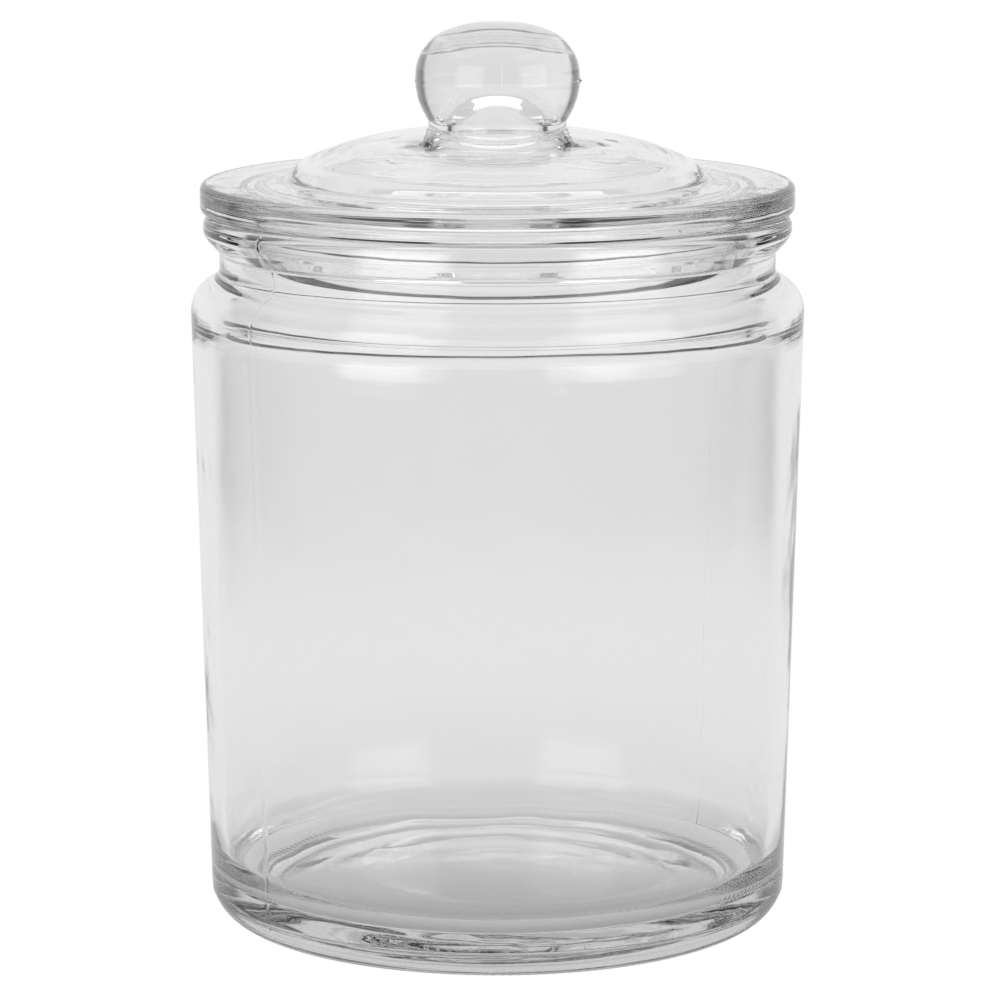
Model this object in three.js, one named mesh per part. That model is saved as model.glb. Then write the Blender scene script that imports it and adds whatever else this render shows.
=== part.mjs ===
// A lidded glass canister: a blown jar with a beaded mouth, and a pressed lid with its knob in one piece.
// Millimetres, +Z up, origin at the middle of the foot. Both pieces are bodies of revolution about Z.
import * as THREE from "three";

// Jar, outside. Radii are worked out inwards from the widest place.
const BODY_RADIUS = 75.4; // the widest place, where the wall meets the shoulder
const BODY_HEIGHT = 152; // up to that same place
const BODY_TAPER = 4; // how much the wall would draw in by the time it met the table
const HEEL_ROUND = 9.2;
const SHOULDER_RISE = 4.8; // from the widest place to the corner that the shoulder would have
const SHOULDER_ROUND = 8.2;
const SHOULDER_WIDTH = 7.1; // from that corner in to the neck
const SHOULDER_SLOPE = 4.1; // and up to it
const NECK_HEIGHT = 5.8;
const NECK_FOOT_ROUND = 3;

// Jar, the flare and the bead round its mouth. The lid sits on the bead.
const FLARE_DEPTH = 2.9; // how far its top stands out of the neck
const FLARE_HEIGHT = 3.1;
const BEAD_DEPTH = 3.9; // how far the bead stands out of the neck
const BEAD_HEIGHT = 6;
const BEAD_UNDERCUT = 1.6; // height of its lower slope
const BEAD_ROUND = 2.8;

// Jar, foot.
const FOOT_RING_WIDTH = 3.8; // the flat ring that it stands on
const PUSH_UP_HEIGHT = 6.5; // how far the middle of the foot is off the table
const PUSH_UP_STRAIGHT = 3; // of the push-up's slope, next to that ring

// Jar, inside.
const BODY_WALL = 4.1;
const NECK_WALL = 4.5;
const MOUTH_ROUND = 2.4;
const NECK_INNER_RISE = 2; // how far the neck's inner corner is above its outer one
const NECK_INNER_ROUND = 12;
const SHOULDER_INNER_DROP = 9; // how far the shoulder's inner corner is below its outer one
const SHOULDER_INNER_ROUND = 16;
const FLOOR_THICKNESS = 8; // at the middle
const FLOOR_FALL = 6; // how much lower the floor would meet the wall than it is at the middle
const FLOOR_STRAIGHT = 12; // of the floor's slope, next to the wall
const FLOOR_ROUND = 10;
const FLAT_MIDDLE = 2; // radius of the flat spot in the middle of the floor and of the push-up

// Lid. Its flange sits on the bead, and its ring drops into the mouth.
const LID_OVERHANG = 0.7; // past the bead
const LID_SEAT_GAP = 0.3; // between the flange and the bead
const LID_RING_CLEARANCE = 1.5; // all round, between the ring and the mouth
const LID_RING_WIDTH = 4;
const LID_RING_DEPTH = 6.8; // below the flange
const LID_RING_ROUND = 2; // where the ring meets the dome inside
const LID_WALL = 4.8; // under the flange, inside the ring
const FLANGE_THICKNESS = 7.5;
const FLANGE_WIDTH = 21.4; // from the lid's edge to the dome's foot
const FLANGE_ROUND = 1.8;
const FLANGE_RISE = 0.3; // from the flange's edge to the dome's foot
const DOME_STEP_WIDTH = 2.6; // the steep side of the dome
const DOME_STEP_HEIGHT = 4.2;
const DOME_STEP_ROUND = 5;
const DOME_FOOT_ROUND = 2.5;
const DOME_HAUNCH_INSET = 4; // the slope underneath starts this far inside the step's head
const DOME_HAUNCH_DROP = 3.6; // and this far below it
const DOME_HAUNCH_ROUND = 12;
const DOME_HAUNCH_FOOT_WIDTH = 1; // and ends this far outside the dome's foot
const DOME_HAUNCH_FOOT_ROUND = 6;
const DOME_BEND_WIDTH = 15.5; // from the dome's foot to where it bends over
const DOME_BEND_FALL = 2.5; // below the dome's top
const DOME_ROUND = 80;
const DOME_WALL = 3.5;
const DOME_BEND_INSET = 1; // how far the bend is inside the outer one, underneath
const DOME_INNER_ROUND = 45;
const DOME_HEIGHT = 12.3; // above the flange, at the knob's neck

// Knob. Heights are above the dome, and widths are measured in from its waist, the widest place.
const KNOB_RADIUS = 20.4;
const KNOB_HEIGHT = 26.1;
const KNOB_WAIST_HEIGHT = 11.8;
const KNOB_WAIST_ROUND = 18;
const KNOB_NECK_DEPTH = 3.5;
const KNOB_NECK_HEIGHT = 2.1;
const KNOB_NECK_ROUND = 0.8;
const KNOB_FLANK_DEPTH = 1.2; // the flank runs from the neck up to the waist
const KNOB_FLANK_FALL = 5.6; // its rounding is centred this far below the waist
const KNOB_FLANK_ROUND = 15;
const KNOB_BROW_DEPTH = 0.8; // the brow is just above the waist
const KNOB_BROW_RISE = 6;
const KNOB_BROW_ROUND = 10;
const KNOB_CROWN_DEPTH = 5.2; // the crown's rounded edge
const KNOB_CROWN_FALL = 2.9;
const KNOB_CROWN_ROUND = 10;
const KNOB_TOP_DEPTH = 12.9; // the nearly flat middle of the crown
const KNOB_TOP_FALL = 0.2;
const KNOB_TOP_ROUND = 20;

// The hollow that goes up into the knob from below.
const KNOB_WALL = 5.4; // round the hollow, at the knob's neck
const HOLLOW_HEIGHT = 11.3; // above the dome
const HOLLOW_TAPER = 1;
const HOLLOW_TOP_ROUND = 9;
const HOLLOW_EDGE_ROUND = 3;

const SOFT_EDGE = 1.2; // small roundings on both pieces

// How finely round shapes are faceted.
const ROUND_SEGMENTS = 44;
const ARC_STEP = Math.PI / 7;

const GLASS = new THREE.MeshStandardMaterial({
  color: 0xdde0e1,
  roughness: 0.06,
  metalness: 0,
  transparent: true,
  opacity: 0.35,
});

// Radii that more than one outline uses.
const footRadius = BODY_RADIUS - BODY_TAPER;
const neckRadius = BODY_RADIUS - SHOULDER_WIDTH;
const beadRadius = neckRadius + BEAD_DEPTH;
const mouthRadius = neckRadius - NECK_WALL;
const lidRadius = beadRadius + LID_OVERHANG;
const domeRadius = lidRadius - FLANGE_WIDTH;
const domeShoulder = domeRadius - DOME_STEP_WIDTH;
const domeBend = domeRadius - DOME_BEND_WIDTH;
const knobNeck = KNOB_RADIUS - KNOB_NECK_DEPTH;

// Heights above the table that more than one outline uses.
const shoulderCorner = BODY_HEIGHT + SHOULDER_RISE;
const neckFoot = shoulderCorner + SHOULDER_SLOPE;
const flareFoot = neckFoot + NECK_HEIGHT;
const beadFoot = flareFoot + FLARE_HEIGHT;
const rimTop = beadFoot + BEAD_HEIGHT;
const flangeFoot = rimTop + LID_SEAT_GAP;
const flangeTop = flangeFoot + FLANGE_THICKNESS;
const domeFoot = flangeTop + FLANGE_RISE;
const domeTop = domeFoot + DOME_HEIGHT;

// The points of an arc that rounds one corner of an outline, tangent to both sides.
function roundedCorner(before, corner, after, radius) {
  const toBefore = before.clone().sub(corner).normalize();
  const toAfter = after.clone().sub(corner).normalize();
  const turn = Math.PI - Math.acos(THREE.MathUtils.clamp(toBefore.dot(toAfter), -1, 1));
  if (!radius || turn < 1e-3) {
    return [corner];
  }
  const middle = toBefore.clone().add(toAfter).normalize();
  const centre = corner.clone().addScaledVector(middle, radius / Math.cos(turn / 2));
  const start = corner.clone().addScaledVector(toBefore, radius * Math.tan(turn / 2));
  const side = Math.sign(toBefore.cross(toAfter));
  const steps = Math.max(2, Math.ceil(turn / ARC_STEP));
  const arc = [];
  for (let i = 0; i <= steps; i++) {
    arc.push(start.clone().rotateAround(centre, (-side * turn * i) / steps));
  }
  return arc;
}

// An outline from corners [radius, height, rounding], in order, its ends left sharp.
function outline(corners) {
  const points = corners.map(([r, z]) => new THREE.Vector2(r, z));
  const last = points.length - 1;
  return points.flatMap((point, i) =>
    i === 0 || i === last
      ? [point]
      : roundedCorner(points[i - 1], point, points[i + 1], corners[i][2]),
  );
}

// The corner of a floor that is level in the middle and falls in one arc to a straight slope at its edge.
function crown(height, edgeRadius, edgeHeight, straight) {
  const radius = (edgeRadius - straight + FLAT_MIDDLE) / 2;
  const turn = Math.atan2(height - edgeHeight, edgeRadius - radius);
  return [radius, height, (radius - FLAT_MIDDLE) / Math.tan(turn / 2)];
}

// Turns an outline round the Z axis. It starts and ends on the axis, with the glass on its left.
function turned(name, corners) {
  const geometry = new THREE.LatheGeometry(outline(corners), ROUND_SEGMENTS);
  geometry.rotateX(Math.PI / 2);
  const mesh = new THREE.Mesh(geometry, GLASS);
  mesh.name = name;
  return mesh;
}

// From the middle of the foot out and up to the mouth.
function jarOutside() {
  const ringOuter = footRadius - HEEL_ROUND;
  const ringInner = ringOuter - FOOT_RING_WIDTH;
  return [
    [0, PUSH_UP_HEIGHT, 0],
    crown(PUSH_UP_HEIGHT, ringInner, 0, PUSH_UP_STRAIGHT),
    [ringInner, 0, SOFT_EDGE],
    [footRadius, 0, HEEL_ROUND],
    [BODY_RADIUS, BODY_HEIGHT, 0],
    [BODY_RADIUS, shoulderCorner, SHOULDER_ROUND],
    [neckRadius, neckFoot, NECK_FOOT_ROUND],
    [neckRadius, flareFoot, SOFT_EDGE],
    [neckRadius + FLARE_DEPTH, beadFoot, 0],
    [beadRadius, beadFoot + BEAD_UNDERCUT, BEAD_ROUND],
    [beadRadius, rimTop, BEAD_ROUND],
  ];
}

// From the mouth down to the middle of the floor.
function jarInside() {
  const floorMiddle = PUSH_UP_HEIGHT + FLOOR_THICKNESS;
  const floorEdge = footRadius - BODY_WALL;
  return [
    [mouthRadius, rimTop, MOUTH_ROUND],
    [mouthRadius, neckFoot + NECK_INNER_RISE, NECK_INNER_ROUND],
    [BODY_RADIUS - BODY_WALL, shoulderCorner - SHOULDER_INNER_DROP, SHOULDER_INNER_ROUND],
    [floorEdge, floorMiddle - FLOOR_FALL, FLOOR_ROUND],
    crown(floorMiddle, floorEdge, floorMiddle - FLOOR_FALL, FLOOR_STRAIGHT),
    [0, floorMiddle, 0],
  ];
}

function jar() {
  return turned("jar", [...jarOutside(), ...jarInside()]);
}

// From the top of the knob's hollow down, out under the dome, round the ring and out to the lid's edge.
function lidUnderside() {
  const ringOuter = mouthRadius - LID_RING_CLEARANCE;
  const ringInner = ringOuter - LID_RING_WIDTH;
  const ringFoot = flangeFoot - LID_RING_DEPTH;
  const hollowRadius = knobNeck - KNOB_WALL;
  const hollowTopRadius = hollowRadius - HOLLOW_TAPER;
  const hollowTop = domeTop + HOLLOW_HEIGHT;
  return [
    [0, hollowTop, 0],
    [hollowTopRadius, hollowTop, Math.min(HOLLOW_TOP_ROUND, hollowTopRadius)],
    [hollowRadius, domeTop - DOME_WALL, HOLLOW_EDGE_ROUND],
    [domeBend - DOME_BEND_INSET, domeTop - DOME_BEND_FALL - DOME_WALL, DOME_INNER_ROUND],
    [domeShoulder - DOME_HAUNCH_INSET, domeFoot + DOME_STEP_HEIGHT - DOME_HAUNCH_DROP, DOME_HAUNCH_ROUND],
    [domeRadius + DOME_HAUNCH_FOOT_WIDTH, domeFoot - LID_WALL, DOME_HAUNCH_FOOT_ROUND],
    [ringInner, domeFoot - LID_WALL, LID_RING_ROUND],
    [ringInner, ringFoot, SOFT_EDGE],
    [ringOuter, ringFoot, SOFT_EDGE],
    [ringOuter, flangeFoot, 0],
    [lidRadius, flangeFoot, FLANGE_ROUND],
  ];
}

// From the lid's edge in over the flange and the dome, and up to the knob.
function lidTop() {
  return [
    [lidRadius, flangeTop, FLANGE_ROUND],
    [domeRadius, domeFoot, DOME_FOOT_ROUND],
    [domeShoulder, domeFoot + DOME_STEP_HEIGHT, DOME_STEP_ROUND],
    [domeBend, domeTop - DOME_BEND_FALL, DOME_ROUND],
    [knobNeck, domeTop, KNOB_NECK_ROUND],
  ];
}

// Up the knob from its neck to the middle of its crown.
function knobOutside() {
  const waist = domeTop + KNOB_WAIST_HEIGHT;
  const crown = domeTop + KNOB_HEIGHT;
  return [
    [knobNeck, domeTop + KNOB_NECK_HEIGHT, SOFT_EDGE],
    [KNOB_RADIUS - KNOB_FLANK_DEPTH, waist - KNOB_FLANK_FALL, KNOB_FLANK_ROUND],
    [KNOB_RADIUS, waist, KNOB_WAIST_ROUND],
    [KNOB_RADIUS - KNOB_BROW_DEPTH, waist + KNOB_BROW_RISE, KNOB_BROW_ROUND],
    [KNOB_RADIUS - KNOB_CROWN_DEPTH, crown - KNOB_CROWN_FALL, KNOB_CROWN_ROUND],
    [KNOB_RADIUS - KNOB_TOP_DEPTH, crown - KNOB_TOP_FALL, KNOB_TOP_ROUND],
    [0, crown, 0],
  ];
}

function lid() {
  return turned("lid", [...lidUnderside(), ...lidTop(), ...knobOutside()]);
}

const canister = new THREE.Group();
canister.add(jar(), lid());

export default canister;
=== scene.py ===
"""A lidded glass canister: a blown jar with a beaded mouth, and a pressed lid with its knob in one piece.

Both are turned from an outline of a few corners, given in millimetres as (radius, height, rounding).
"""

import math

import bmesh
import bpy
from mathutils import Matrix, Vector, noise


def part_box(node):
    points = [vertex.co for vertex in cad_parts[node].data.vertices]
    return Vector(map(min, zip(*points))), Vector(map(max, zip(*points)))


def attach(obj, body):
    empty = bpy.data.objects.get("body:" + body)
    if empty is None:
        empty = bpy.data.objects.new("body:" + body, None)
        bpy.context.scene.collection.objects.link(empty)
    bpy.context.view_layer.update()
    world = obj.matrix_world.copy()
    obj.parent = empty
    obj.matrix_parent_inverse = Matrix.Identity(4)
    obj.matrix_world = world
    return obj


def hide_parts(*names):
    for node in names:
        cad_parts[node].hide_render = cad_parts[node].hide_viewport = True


MM = 0.001

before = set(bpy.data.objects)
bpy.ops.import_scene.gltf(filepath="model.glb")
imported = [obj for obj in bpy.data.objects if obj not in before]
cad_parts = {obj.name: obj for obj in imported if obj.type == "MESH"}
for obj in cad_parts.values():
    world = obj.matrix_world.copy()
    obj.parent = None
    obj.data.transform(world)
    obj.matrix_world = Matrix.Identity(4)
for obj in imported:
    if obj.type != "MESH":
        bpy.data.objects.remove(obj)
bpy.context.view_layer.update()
jar_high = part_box("jar")[1]
lid_low, lid_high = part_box("lid")

# Radii and heights of the fixed frame, in millimetres, from which the outlines are worked out.
BODY_RADIUS = jar_high[0] / MM
RIM_TOP = jar_high[2] / MM
LID_RADIUS = lid_high[0] / MM
CROWN = lid_high[2] / MM
RING_FOOT = lid_low[2] / MM

# Jar.
FOOT_RADIUS = BODY_RADIUS - 4  # where the tapered wall would meet the table
HEEL_ROUND = 9.2
FOOT_RING_WIDTH = 3.8
NECK_RADIUS = BODY_RADIUS - 7.1
BEAD_RADIUS = NECK_RADIUS + 3.9
MOUTH_RADIUS = NECK_RADIUS - 4.5
BEAD_FOOT = RIM_TOP - 6
FLARE_FOOT = BEAD_FOOT - 3.1
NECK_FOOT = FLARE_FOOT - 5.8
SHOULDER_TOP = NECK_FOOT - 4.1
SHOULDER_FOOT = SHOULDER_TOP - 4.8
BODY_WALL = 4.1
SHOULDER_INNER_DROP = 9  # how far the shoulder's inner corner is below its outer one
BEAD_ROUND = 2.8
PUSH_UP = 6.5  # how far the middle of the foot is off the table
FLOOR_MIDDLE = PUSH_UP + 8
FLOOR_EDGE = FLOOR_MIDDLE - 6
FLOOR_RADIUS = FOOT_RADIUS - BODY_WALL
FLAT_MIDDLE = 2  # radius of the flat spot in the middle of the floor and of the push-up

# Lid.
DOME_RADIUS = LID_RADIUS - 21.4
DOME_SHOULDER = DOME_RADIUS - 2.6
DOME_BEND = DOME_RADIUS - 15.5
DOME_TOP = CROWN - 26.1
DOME_FOOT = DOME_TOP - 12.3
FLANGE_TOP = DOME_FOOT - 0.3
FLANGE_FOOT = FLANGE_TOP - 7.5
RING_OUTER = MOUTH_RADIUS - 1.5
RING_INNER = RING_OUTER - 4
LID_WALL = 4.8
DOME_WALL = 3.5
DOME_BEND_TOP = DOME_TOP - 2.5
FLANGE_ROUND = 1.8

# Knob and its hollow.
KNOB_RADIUS = 20.4
KNOB_NECK = KNOB_RADIUS - 3.5
KNOB_WAIST = DOME_TOP + 11.8
HOLLOW_RADIUS = 11.5
HOLLOW_TOP = DOME_TOP + 11.3

SOFT_EDGE = 1.2  # small roundings on both pieces

# Marks of the moulds.
SEAM_ANGLE = math.radians(39)  # the jar's mould parts along this line, and opposite it
SEAM_CUTS = (-0.45, -0.2, 0.2, 0.45)  # in degrees to either side of the seam
SEAM_REACH = 0.35  # the cuts within this many degrees of the seam are raised
SEAM_HEIGHT = 0.1
SEAM_ON_BEAD = 2.5  # times as high over the bead and on the knob
BOW_TURN = math.radians(-1.1)  # how far the seam bows round the bead
BOW_REACH = 4  # the degrees to either side in which the glass goes with it
LINE_CUTS = (-0.3, 0, 0.3)  # below, on and above a level line
HEEL_LINE, HEEL_LINE_RISE = 7, 0.15
SHOULDER_LINE, SHOULDER_LINE_RISE = SHOULDER_FOOT + 0.4, -0.1
KNOB_LINE_RISE = 0.15
KNOB_SEAM_ANGLE = math.radians(-87)
FLASH_HEIGHT = 0.5
FLASH_DEGREES, FLASH_SIZE = 2, 0.5  # how far it reaches round the knob, and up and down
KNURL_INNER, KNURL_OUTER = 57, 66
KNURL_TOP = 2  # the faces in that ring below this height are cut
KNURL_BARS = 200
KNURL_SLANT = 7
KNURL_DEPTH = 0.35
BASE_MARK_RADIUS = 37
BASE_MARK_MIDDLE = (6, 2)
BASE_MARK_WIDTH = 1.3
BASE_MARK_DEPTH = 0.25
BASE_MARK_ROWS = (28, 46)  # the radii between which the push-up has finer rows
UNEVENNESS = 0.2
UNEVEN_FROM = 4  # the height above which the glass is uneven
UNEVEN_FADE = 10  # the height in which it fades out at the top

COLUMNS = 400
ARC_STEP = math.radians(7.5)
JAR_STRAIGHT, LID_STRAIGHT = 6, 4  # the longest straight stretch of each outline


# ---- Outlines and turning -------------------------------------------------------------------------


def vertex_at(bm, place):
    """The vertex of an outline at a place, made if none is there yet."""
    for vertex in bm.verts:
        if (vertex.co - place).length < 1e-7:
            return vertex
    return bm.verts.new(place)


def rounding(bm, before, corner, after, radius, longest):
    """One corner, a vertex spun about the rounding's centre. Gives the places where it starts and ends."""
    to_before = (before - corner).normalized()
    to_after = (after - corner).normalized()
    turn = math.pi - to_before.angle(to_after)
    if radius == 0 or turn < 0.01:
        return corner, corner
    centre = corner + (to_before + to_after).normalized() * (radius / math.cos(turn / 2))
    reach = radius * math.tan(turn / 2)
    first, last = corner + to_before * reach, corner + to_after * reach
    bmesh.ops.spin(
        bm,
        geom=[bm.verts.new(first)],
        cent=centre,
        axis=to_after.cross(to_before),
        angle=turn,
        steps=max(3, math.ceil(turn / ARC_STEP), math.ceil(turn * radius / longest)),
    )
    return first, last


def outline(bm, corners, longest):
    """A chain of edges through the corners, their straight stretches cut to at most the longest length."""
    points = [Vector((r, 0, z)) * MM for r, z, _ in corners]
    end = points[0]
    for i in range(1, len(points)):
        first = last = points[i]
        if i < len(points) - 1:
            radius = corners[i][2] * MM
            first, last = rounding(bm, points[i - 1], points[i], points[i + 1], radius, longest * MM)
        edge = bm.edges.new((vertex_at(bm, end), vertex_at(bm, first)))
        cuts = int(edge.calc_length() / (longest * MM))
        if cuts:
            bmesh.ops.subdivide_edges(bm, edges=[edge], cuts=cuts)
        end = last
    bmesh.ops.remove_doubles(bm, verts=bm.verts[:], dist=1e-7)


def crown(height, edge_radius, edge_height, straight):
    """The corner of a floor that is level in the middle and falls in one arc to a straight edge."""
    radius = (edge_radius - straight + FLAT_MIDDLE) / 2
    turn = math.atan2(height - edge_height, edge_radius - radius)
    return radius, height, (radius - FLAT_MIDDLE) / math.tan(turn / 2)


def turned(corners, longest):
    """The outline turned once round Z into a closed shell, its first column on the seam."""
    bm = bmesh.new()
    outline(bm, corners, longest)
    bmesh.ops.rotate(bm, verts=bm.verts[:], matrix=Matrix.Rotation(SEAM_ANGLE, 3, "Z"))
    bmesh.ops.spin(
        bm,
        geom=bm.verts[:] + bm.edges[:],
        cent=(0, 0, 0),
        axis=(0, 0, 1),
        angle=2 * math.pi,
        steps=COLUMNS,
        use_merge=True,
        use_duplicate=False,
    )
    bmesh.ops.remove_doubles(bm, verts=bm.verts[:], dist=1e-6)
    bmesh.ops.recalc_face_normals(bm, faces=bm.faces[:])
    return bm


def finished(name, bm, body, cad_node, material):
    """The piece itself: smooth, on its body, in place of its node."""
    mesh = bpy.data.meshes.new(name)
    for face in bm.faces:
        face.smooth = True
    bm.to_mesh(mesh)
    bm.free()
    piece = bpy.data.objects.new(name, mesh)
    bpy.context.scene.collection.objects.link(piece)
    piece.data.materials.append(material)
    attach(piece, body)
    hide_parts(cad_node)


# ---- Marks of the moulds --------------------------------------------------------------------------


def radius_of(vertex):
    """A vertex's distance from the axis, in millimetres."""
    return math.hypot(vertex.co.x, vertex.co.y) / MM


def degrees_from(vertex, angle):
    """The degrees round the axis from an angle to a vertex, the short way."""
    round_by = math.atan2(vertex.co.y, vertex.co.x) - angle
    return math.degrees((round_by + math.pi) % (2 * math.pi) - math.pi)


def outwardness(vertex):
    """The part of a vertex's normal that points away from the axis, times its distance."""
    return vertex.normal.x * vertex.co.x + vertex.normal.y * vertex.co.y


def outside(bm):
    """The vertices that face away from the axis."""
    bm.normal_update()
    return [v for v in bm.verts if outwardness(v) > 0.15 * radius_of(v) * MM]


def cut(bm, place, across):
    """New edges where a plane passes through the piece."""
    geometry = bm.verts[:] + bm.edges[:] + bm.faces[:]
    bmesh.ops.bisect_plane(bm, geom=geometry, dist=1e-7, plane_co=place, plane_no=across)


def level_line(bm, height, rise):
    """A fine level ridge round the outside, or a groove where the rise is negative."""
    for offset in LINE_CUTS:
        cut(bm, (0, 0, (height + offset) * MM), (0, 0, 1))
    for vertex in outside(bm):
        if abs(vertex.co.z - height * MM) < 0.05 * MM:
            vertex.co += vertex.normal * rise * MM


def upright_seam(bm, angle, low, high, both_sides):
    """Fine upright ridges where a mould parted, outside and between two heights."""
    for offset in SEAM_CUTS:
        across = angle + math.radians(offset + 90)
        cut(bm, (0, 0, 0), (math.cos(across), math.sin(across), 0))
    for vertex in outside(bm):
        height = vertex.co.z / MM
        away = abs(degrees_from(vertex, angle))
        if both_sides:
            away = min(away, 180 - away)
        if low < height < high and away < SEAM_REACH:
            wave = 0.75 + 0.35 * noise.noise(Vector((away, 0, height * 0.12)))
            share = (1 if away < 0.1 else 0.4) * (1 if height < BEAD_FOOT else SEAM_ON_BEAD)
            vertex.co += vertex.normal * (SEAM_HEIGHT * wave * share * MM)


def bowed_seam(bm):
    """Over the bead one seam bows sideways, where the ring of the mould was out of line."""
    for vertex in bm.verts:
        up = (vertex.co.z / MM - BEAD_FOOT - 3) / 3
        away = degrees_from(vertex, SEAM_ANGLE + math.pi) / BOW_REACH
        if abs(up) < 1 and abs(away) < 1 and radius_of(vertex) > NECK_RADIUS:
            turn = BOW_TURN * (1 - up * up) * (1 - abs(away)) ** 2
            vertex.co.rotate(Matrix.Rotation(turn, 3, "Z"))


def knurl(bm):
    """Slanting bars cut up into the ring that the jar stands on."""
    def inside(vertex):
        return KNURL_INNER < radius_of(vertex) < KNURL_OUTER and vertex.co.z < KNURL_TOP * MM

    zone = [edge for edge in bm.edges if all(inside(v) for v in edge.verts)]
    bmesh.ops.subdivide_edges(bm, edges=zone, cuts=1, use_grid_fill=True)
    bm.normal_update()
    for vertex in filter(inside, bm.verts):
        across = (radius_of(vertex) - KNURL_INNER) / (KNURL_OUTER - KNURL_INNER)
        angle = math.atan2(vertex.co.y, vertex.co.x)
        bar = 0.5 + 0.5 * math.cos(KNURL_BARS * angle + KNURL_SLANT * across)
        worn = 0.7 + 0.5 * noise.noise(vertex.co * 45)
        vertex.co -= vertex.normal * (KNURL_DEPTH * bar * worn * math.sin(math.pi * across) * MM)


def base_mark(bm):
    """The ring that the mould's base plate left under the jar, a little off its middle."""
    inner, outer = BASE_MARK_ROWS

    def under(vertex):
        return inner < radius_of(vertex) < outer and vertex.co.z < (PUSH_UP + 0.5) * MM

    zone = [edge for edge in bm.edges if all(under(v) for v in edge.verts)]
    radial = [edge for edge in zone if abs(radius_of(edge.verts[0]) - radius_of(edge.verts[1])) > 0.5]
    bmesh.ops.subdivide_edges(bm, edges=radial, cuts=3)
    for vertex in filter(under, bm.verts):
        x, y = vertex.co.x / MM - BASE_MARK_MIDDLE[0], vertex.co.y / MM - BASE_MARK_MIDDLE[1]
        away = (math.hypot(x, y) - BASE_MARK_RADIUS) / BASE_MARK_WIDTH
        if abs(away) < 1:
            vertex.co.z -= BASE_MARK_DEPTH * MM * (1 - away * away) ** 2


def uneven(bm, amount, top):
    """The slight waviness that blown glass has inside and in its push-up, below a height."""
    bm.normal_update()
    for vertex in bm.verts:
        facing_in = outwardness(vertex) < 0 or vertex.normal.z > 0.8
        if facing_in and UNEVEN_FROM < vertex.co.z / MM < top:
            wave = noise.noise(vertex.co * 22) + 0.4 * noise.noise(vertex.co * 60)
            fade = min(1, (top - vertex.co.z / MM) / UNEVEN_FADE)
            vertex.co += vertex.normal * (amount * wave * fade * MM)


def flash_point(bm, height, angle):
    """A speck of glass squeezed out where the halves of the knob's mould met."""
    for vertex in outside(bm):
        round_by = degrees_from(vertex, angle) / FLASH_DEGREES
        away = math.hypot(round_by, (vertex.co.z / MM - height) / FLASH_SIZE)
        if away < 1 and radius_of(vertex) < KNOB_RADIUS + 1:
            vertex.co += vertex.normal * (FLASH_HEIGHT * (1 - away) * MM)


# ---- The two outlines -----------------------------------------------------------------------------


def jar_outline():
    """From the middle of the foot out, up to the mouth, and down inside to the middle of the floor."""
    ring_outer = FOOT_RADIUS - HEEL_ROUND
    ring_inner = ring_outer - FOOT_RING_WIDTH
    return [
        (0, PUSH_UP, 0),
        crown(PUSH_UP, ring_inner, 0, 3),
        (ring_inner, 0, SOFT_EDGE),
        (FOOT_RADIUS, 0, HEEL_ROUND),
        (BODY_RADIUS, SHOULDER_FOOT, 0),
        (BODY_RADIUS, SHOULDER_TOP, 8.2),
        (NECK_RADIUS, NECK_FOOT, 3),
        (NECK_RADIUS, FLARE_FOOT, SOFT_EDGE),
        (NECK_RADIUS + 2.9, BEAD_FOOT, 0.4),  # the flare's top
        (BEAD_RADIUS, BEAD_FOOT + 1.6, BEAD_ROUND),
        (BEAD_RADIUS, RIM_TOP, BEAD_ROUND),
        (MOUTH_RADIUS, RIM_TOP, 2.4),
        (MOUTH_RADIUS, NECK_FOOT + 2, 12),  # inside the neck
        (BODY_RADIUS - BODY_WALL, SHOULDER_TOP - SHOULDER_INNER_DROP, 16),  # inside the shoulder
        (FLOOR_RADIUS, FLOOR_EDGE, 10),
        crown(FLOOR_MIDDLE, FLOOR_RADIUS, FLOOR_EDGE, 12),
        (0, FLOOR_MIDDLE, 0),
    ]


def lid_outline():
    """From the top of the knob's hollow down and out to the lid's edge, then up to the crown."""
    return [
        (0, HOLLOW_TOP, 0),
        (HOLLOW_RADIUS - 1, HOLLOW_TOP, 9),
        (HOLLOW_RADIUS, DOME_TOP - DOME_WALL, 3),
        (DOME_BEND - 1, DOME_BEND_TOP - DOME_WALL, 45),
        (DOME_SHOULDER - 4, DOME_FOOT + 0.6, 12),  # the slope under the dome's steep side
        (DOME_RADIUS + 1, DOME_FOOT - LID_WALL, 6),
        (RING_INNER, DOME_FOOT - LID_WALL, 2),
        (RING_INNER, RING_FOOT, SOFT_EDGE),
        (RING_OUTER, RING_FOOT, SOFT_EDGE),
        (RING_OUTER, FLANGE_FOOT, 0.6),
        (LID_RADIUS, FLANGE_FOOT, FLANGE_ROUND),
        (LID_RADIUS, FLANGE_TOP, FLANGE_ROUND),
        (DOME_RADIUS, DOME_FOOT, 2.5),
        (DOME_SHOULDER, DOME_FOOT + 4.2, 5),
        (DOME_BEND, DOME_BEND_TOP, 80),
        (KNOB_NECK, DOME_TOP, 0.8),
        (KNOB_NECK, DOME_TOP + 2.1, SOFT_EDGE),
        (KNOB_RADIUS - 1.2, KNOB_WAIST - 5.6, 15),  # the flank
        (KNOB_RADIUS, KNOB_WAIST, 18),
        (KNOB_RADIUS - 0.8, KNOB_WAIST + 6, 10),  # the brow
        (KNOB_RADIUS - 5.2, CROWN - 2.9, 10),
        (KNOB_RADIUS - 12.9, CROWN - 0.2, 20),
        (0, CROWN, 0),
    ]


# ---- Glass ----------------------------------------------------------------------------------------


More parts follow.
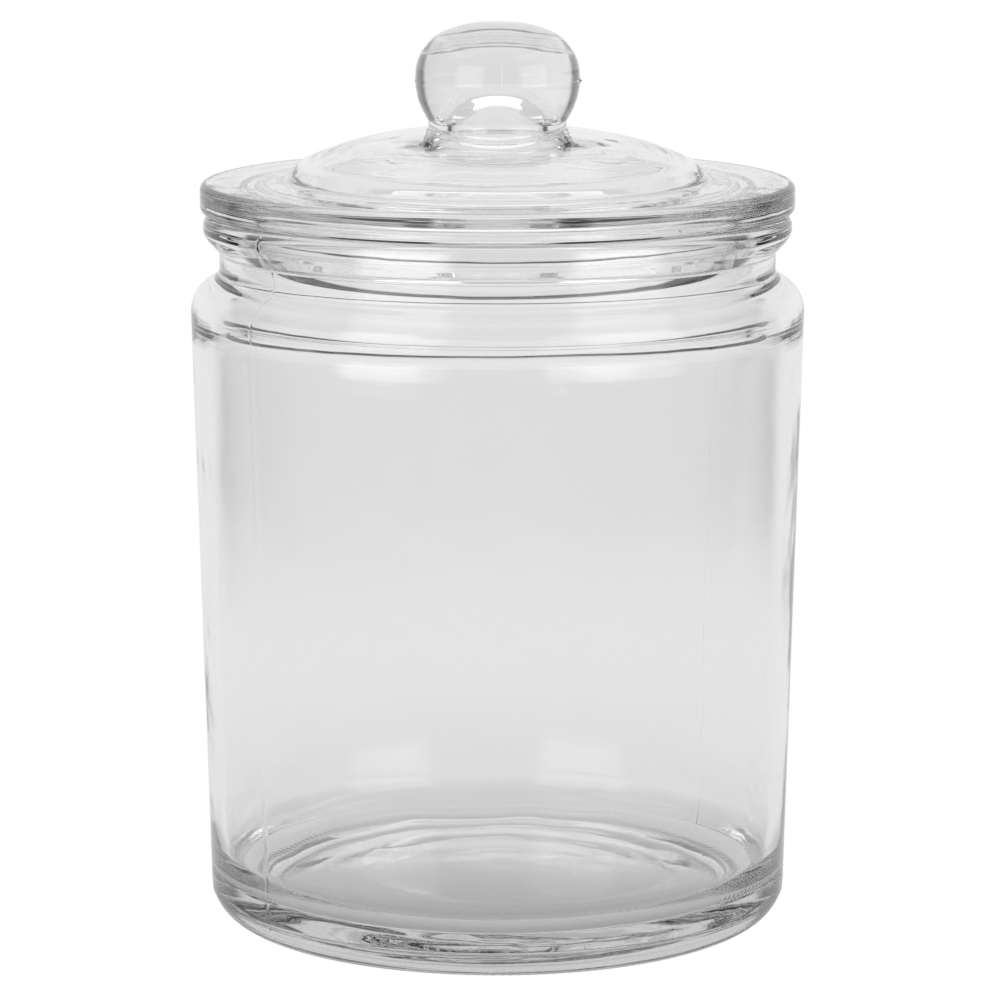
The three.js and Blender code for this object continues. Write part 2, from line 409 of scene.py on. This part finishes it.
GLASS_COLOUR = (0.975, 0.972, 0.977, 1)
DEPTH_COLOUR = (0.3, 0.29, 0.31, 1)  # the less of a colour, the more the glass absorbs of it
DEPTH_DENSITY = 4
SCUFF_ROUGHNESS = 0.35
SCUFF_SPECKS = ((0.45, 0), (0.7, 1))
WHITE = (1, 1, 1, 1)


def node(tree, kind, **values):
    """A shader node with its settings and plain input values given by name."""
    made = tree.nodes.new(kind)
    for name, value in values.items():
        if hasattr(made, name):
            setattr(made, name, value)
        else:
            made.inputs[name.replace("_", " ").title()].default_value = value
    return made


def graded(tree, factor, stops):
    """A colour ramp of greys over a factor, from (place, grey) pairs."""
    ramp = tree.nodes.new("ShaderNodeValToRGB")
    ramp.color_ramp.interpolation = "EASE"
    elements = ramp.color_ramp.elements
    while len(elements) < len(stops):
        elements.new(0.5)
    for element, (place, grey) in zip(elements, stops):
        element.position = place
        element.color = (grey, grey, grey, 1)
    tree.links.new(factor, ramp.inputs["Fac"])
    return ramp.outputs["Color"]


def glass_surface():
    """What both finishes share: faint ripples, and scuffs that gather low on the piece."""
    group = bpy.data.node_groups.new("glass_surface", "ShaderNodeTree")
    inputs = {"Ripple Scale": 40, "Scuff Scale": 900, "Scuff Top": 0.01, "Clean Roughness": 0}
    for name, value in inputs.items():
        socket = group.interface.new_socket(name, in_out="INPUT", socket_type="NodeSocketFloat")
        socket.default_value = value
    for name in ("Roughness", "Height"):
        group.interface.new_socket(name, in_out="OUTPUT", socket_type="NodeSocketFloat")
    given = group.nodes.new("NodeGroupInput")
    result = group.nodes.new("NodeGroupOutput")
    place = node(group, "ShaderNodeTexCoord").outputs["Object"]
    ripple = node(group, "ShaderNodeTexNoise", Detail=2)
    specks = node(group, "ShaderNodeTexNoise", Detail=3, Roughness=0.7)
    for texture, scale in ((ripple, "Ripple Scale"), (specks, "Scuff Scale")):
        group.links.new(place, texture.inputs["Vector"])
        group.links.new(given.outputs[scale], texture.inputs["Scale"])
    group.links.new(ripple.outputs["Fac"], result.inputs["Height"])
    height = node(group, "ShaderNodeSeparateXYZ")
    group.links.new(place, height.inputs[0])
    low = node(group, "ShaderNodeMapRange", clamp=True)
    low.inputs["To Min"].default_value = 1
    low.inputs["To Max"].default_value = 0
    group.links.new(height.outputs["Z"], low.inputs["Value"])
    group.links.new(given.outputs["Scuff Top"], low.inputs["From Max"])
    worn = node(group, "ShaderNodeMath", operation="MULTIPLY")
    group.links.new(low.outputs["Result"], worn.inputs[0])
    group.links.new(graded(group, specks.outputs["Fac"], SCUFF_SPECKS), worn.inputs[1])
    roughness = node(group, "ShaderNodeMath", operation="MULTIPLY_ADD")
    roughness.inputs[1].default_value = SCUFF_ROUGHNESS
    group.links.new(worn.outputs[0], roughness.inputs[0])
    group.links.new(given.outputs["Clean Roughness"], roughness.inputs[2])
    group.links.new(roughness.outputs[0], result.inputs["Roughness"])
    return group


def glass(name, surface, **values):
    """Clear glass, very slightly grey, which darkens where it is thick."""
    material = bpy.data.materials.new(name)
    material.use_nodes = True
    tree = material.node_tree
    shader = tree.nodes["Principled BSDF"]
    shader.inputs["Base Color"].default_value = GLASS_COLOUR
    shader.inputs["IOR"].default_value = 1.5
    shader.inputs["Transmission Weight"].default_value = 1
    wear = node(tree, "ShaderNodeGroup", node_tree=surface)
    for socket, value in values.items():
        wear.inputs[socket.replace("_", " ").title()].default_value = value
    bump = node(tree, "ShaderNodeBump", Strength=0.5, Distance=0.0003)
    tree.links.new(wear.outputs["Height"], bump.inputs["Height"])
    tree.links.new(bump.outputs["Normal"], shader.inputs["Normal"])
    tree.links.new(wear.outputs["Roughness"], shader.inputs["Roughness"])
    depth = node(tree, "ShaderNodeVolumeAbsorption", Density=DEPTH_DENSITY)
    depth.inputs["Color"].default_value = DEPTH_COLOUR
    tree.links.new(depth.outputs[0], tree.nodes["Material Output"].inputs["Volume"])
    return material


# ---- Surroundings ---------------------------------------------------------------------------------


# By metres from the axis, the floor's greys, which are a painted shadow darkening it round the jar, and
# how much of the painted side shade holds.
FLOOR_PAINTED_SHADOW_GREYS = ((0, 0.34), (0.055, 0.36), (0.08, 0.66), (0.13, 0.8), (0.3, 0.84))
FLOOR_SIDE_SHADE_SHARE = ((0.35, 0), (0.7, 1))
# By direction, from 0 straight in front to 1 straight behind. There is a dark strip at each side: on the
# floor it is painted shade, which also darkens the floor in front; in the studio it is dimmer light.
FLOOR_PAINTED_SIDE_SHADE = ((0, 0.45), (0.3, 0.42), (0.55, 0.42), (0.63, 0.2), (0.77, 0.2), (0.83, 0.86), (1, 0.9))
STUDIO_GREYS = ((0, 0.5), (0.3, 0.45), (0.55, 0.55), (0.63, 0.12), (0.77, 0.12), (0.83, 0.84), (1, 0.9))
# By how steeply a direction points up.
CEILING_GREYS = ((0.4, 0), (0.65, 0.7))
# From the middle of a soft box to its edge.
SOFTBOX_GREYS = ((0, 1), (0.6, 0.9), (1, 0))
SOFTBOX_SIZE, SOFTBOX_STRENGTH = 1.1, 2.2
JAR_MIDDLE = (0, 0, 0.15)  # what the soft boxes are aimed at
CAMERA_PLACE = (0.0006, -1.155, 0.3095)
CAMERA_TILT = 10.09  # how far it looks down, in degrees
FOCAL_LENGTH = 170.2


def backness(tree, direction):
    """How far a direction points to the back, from 0 to 1."""
    parts = node(tree, "ShaderNodeSeparateXYZ")
    tree.links.new(direction, parts.inputs[0])
    result = node(tree, "ShaderNodeMath", operation="MULTIPLY_ADD")
    result.inputs[1].default_value = 0.5
    result.inputs[2].default_value = 0.5
    tree.links.new(parts.outputs["Y"], result.inputs[0])
    return result.outputs[0]


def white_to_camera(tree, shade):
    """A shade as the glass sees it, which the camera sees white."""
    mixed = node(tree, "ShaderNodeMixRGB", blend_type="MIX")
    mixed.inputs["Color2"].default_value = WHITE
    tree.links.new(node(tree, "ShaderNodeLightPath").outputs["Is Camera Ray"], mixed.inputs["Fac"])
    tree.links.new(shade, mixed.inputs["Color1"])
    return mixed.outputs["Color"]


def square(name, reach):
    """A level square that reaches this far to each side, and the empty node tree of its material."""
    bm = bmesh.new()
    bmesh.ops.create_grid(bm, x_segments=1, y_segments=1, size=reach)
    mesh = bpy.data.meshes.new(name)
    bm.to_mesh(mesh)
    bm.free()
    made = bpy.data.objects.new(name, mesh)
    bpy.context.scene.collection.objects.link(made)
    material = bpy.data.materials.new(name)
    material.use_nodes = True
    material.node_tree.nodes.clear()
    mesh.materials.append(material)
    return made, material.node_tree


def floor():
    """A pale floor that glows. The camera sees it white, and the glass sees painted shade on it: a painted
    shadow round the jar, and painted darker strips in front and at the sides.
    """
    ground, tree = square("floor", 6)
    place = node(tree, "ShaderNodeTexCoord")
    distance = node(tree, "ShaderNodeVectorMath", operation="LENGTH")
    tree.links.new(place.outputs["Object"], distance.inputs[0])
    direction = node(tree, "ShaderNodeVectorMath", operation="NORMALIZE")
    tree.links.new(place.outputs["Object"], direction.inputs[0])
    # The greys that the floor glows with are painted shade: a painted shadow round the jar, darkened
    # further by the painted side shade.
    painted_floor_shade = node(tree, "ShaderNodeMixRGB", blend_type="DARKEN")
    tree.links.new(graded(tree, distance.outputs["Value"], FLOOR_SIDE_SHADE_SHARE), painted_floor_shade.inputs["Fac"])
    tree.links.new(graded(tree, distance.outputs["Value"], FLOOR_PAINTED_SHADOW_GREYS), painted_floor_shade.inputs["Color1"])
    # Painted shade on the floor: darker in front and at each side of the jar, lighter behind.
    painted_side_shade = graded(tree, backness(tree, direction.outputs["Vector"]), FLOOR_PAINTED_SIDE_SHADE)
    tree.links.new(painted_side_shade, painted_floor_shade.inputs["Color2"])
    glow = node(tree, "ShaderNodeEmission")
    tree.links.new(white_to_camera(tree, painted_floor_shade.outputs["Color"]), glow.inputs["Color"])
    tree.links.new(glow.outputs[0], node(tree, "ShaderNodeOutputMaterial").inputs["Surface"])
    ground.location.z = -0.0005


def softbox(name, place):
    """A square of light with soft edges, which only the glass sees."""
    panel, tree = square(name, 1)
    across = node(tree, "ShaderNodeSeparateXYZ")
    tree.links.new(node(tree, "ShaderNodeTexCoord").outputs["Object"], across.inputs[0])
    shades = []
    for axis in "XY":
        inwards = node(tree, "ShaderNodeMath", operation="ABSOLUTE")
        tree.links.new(across.outputs[axis], inwards.inputs[0])
        shades.append(graded(tree, inwards.outputs[0], SOFTBOX_GREYS))
    both = node(tree, "ShaderNodeMixRGB", blend_type="MULTIPLY")
    both.inputs["Fac"].default_value = 1
    tree.links.new(shades[0], both.inputs["Color1"])
    tree.links.new(shades[1], both.inputs["Color2"])
    glow = node(tree, "ShaderNodeEmission", Strength=SOFTBOX_STRENGTH)
    tree.links.new(both.outputs["Color"], glow.inputs["Color"])
    through = node(tree, "ShaderNodeAddShader")
    tree.links.new(glow.outputs[0], through.inputs[0])
    tree.links.new(node(tree, "ShaderNodeBsdfTransparent").outputs[0], through.inputs[1])
    tree.links.new(through.outputs[0], node(tree, "ShaderNodeOutputMaterial").inputs["Surface"])
    panel.scale = (SOFTBOX_SIZE / 2, SOFTBOX_SIZE / 2, 1)
    panel.location = place
    panel.rotation_euler = (Vector(JAR_MIDDLE) - Vector(place)).to_track_quat("-Z", "Y").to_euler()
    panel.visible_camera = False


def surroundings():
    """White where the camera looks straight at it. The glass sees it darker beside and in front."""
    world = bpy.data.worlds.new("studio")
    bpy.context.scene.world = world
    world.use_nodes = True
    tree = world.node_tree
    direction = node(tree, "ShaderNodeTexCoord").outputs["Generated"]
    upness = node(tree, "ShaderNodeSeparateXYZ")
    tree.links.new(direction, upness.inputs[0])
    lighter = node(tree, "ShaderNodeMixRGB", blend_type="LIGHTEN")
    lighter.inputs["Fac"].default_value = 1
    tree.links.new(graded(tree, backness(tree, direction), STUDIO_GREYS), lighter.inputs["Color1"])
    tree.links.new(graded(tree, upness.outputs["Z"], CEILING_GREYS), lighter.inputs["Color2"])
    shade = white_to_camera(tree, lighter.outputs["Color"])
    tree.links.new(shade, tree.nodes["Background"].inputs["Color"])


def overhead_light():
    """A wide soft panel above."""
    lamp = bpy.data.lights.new("overhead_light", "AREA")
    lamp.size = 2
    lamp.energy = 6
    light = bpy.data.objects.new("overhead_light", lamp)
    light.location = (0, 0.3, 2.2)
    light.visible_camera = False
    bpy.context.scene.collection.objects.link(light)


def camera():
    """A little above the lid and looking slightly down, from far enough away that little converges."""
    lens = bpy.data.cameras.new("camera")
    lens.sensor_width = 36
    lens.lens = FOCAL_LENGTH
    lens.clip_end = 50
    view = bpy.data.objects.new("camera", lens)
    view.location = CAMERA_PLACE
    view.rotation_euler = (math.radians(90 - CAMERA_TILT), 0, 0)
    bpy.context.scene.collection.objects.link(view)
    bpy.context.scene.camera = view


# ---- The pieces -----------------------------------------------------------------------------------


def jar(surface):
    """The blown jar with everything that its mould left on it."""
    bm = turned(jar_outline(), JAR_STRAIGHT)
    base_mark(bm)
    uneven(bm, UNEVENNESS, NECK_FOOT)
    level_line(bm, HEEL_LINE, HEEL_LINE_RISE)
    level_line(bm, SHOULDER_LINE, SHOULDER_LINE_RISE)
    upright_seam(bm, SEAM_ANGLE, 3, RIM_TOP - 1, both_sides=True)
    bowed_seam(bm)
    knurl(bm)
    finished("blown_jar", bm, "jar", "jar", glass("jar_clear_glass", surface))


def lid(surface):
    """The pressed lid, with its knob's parting line, seam and speck of flash."""
    bm = turned(lid_outline(), LID_STRAIGHT)
    level_line(bm, KNOB_WAIST, KNOB_LINE_RISE)
    upright_seam(bm, KNOB_SEAM_ANGLE, KNOB_WAIST, CROWN - 4, both_sides=False)
    flash_point(bm, KNOB_WAIST, 0)
    look = glass("lid_clear_glass", surface, ripple_scale=55, scuff_top=0)
    finished("pressed_lid", bm, "lid", "lid", look)


camera()
surroundings()
floor()
overhead_light()
softbox("left_softbox", (-0.77, -0.92, 0.45))
softbox("right_softbox", (0.95, -0.74, 0.45))

scene = bpy.context.scene
scene.view_settings.view_transform = "Standard"
scene.cycles.max_bounces = 32  # light crosses many faces of glass
scene.cycles.transmission_bounces = 32
scene.cycles.glossy_bounces = 12

shared_surface = glass_surface()
jar(shared_surface)
lid(shared_surface)
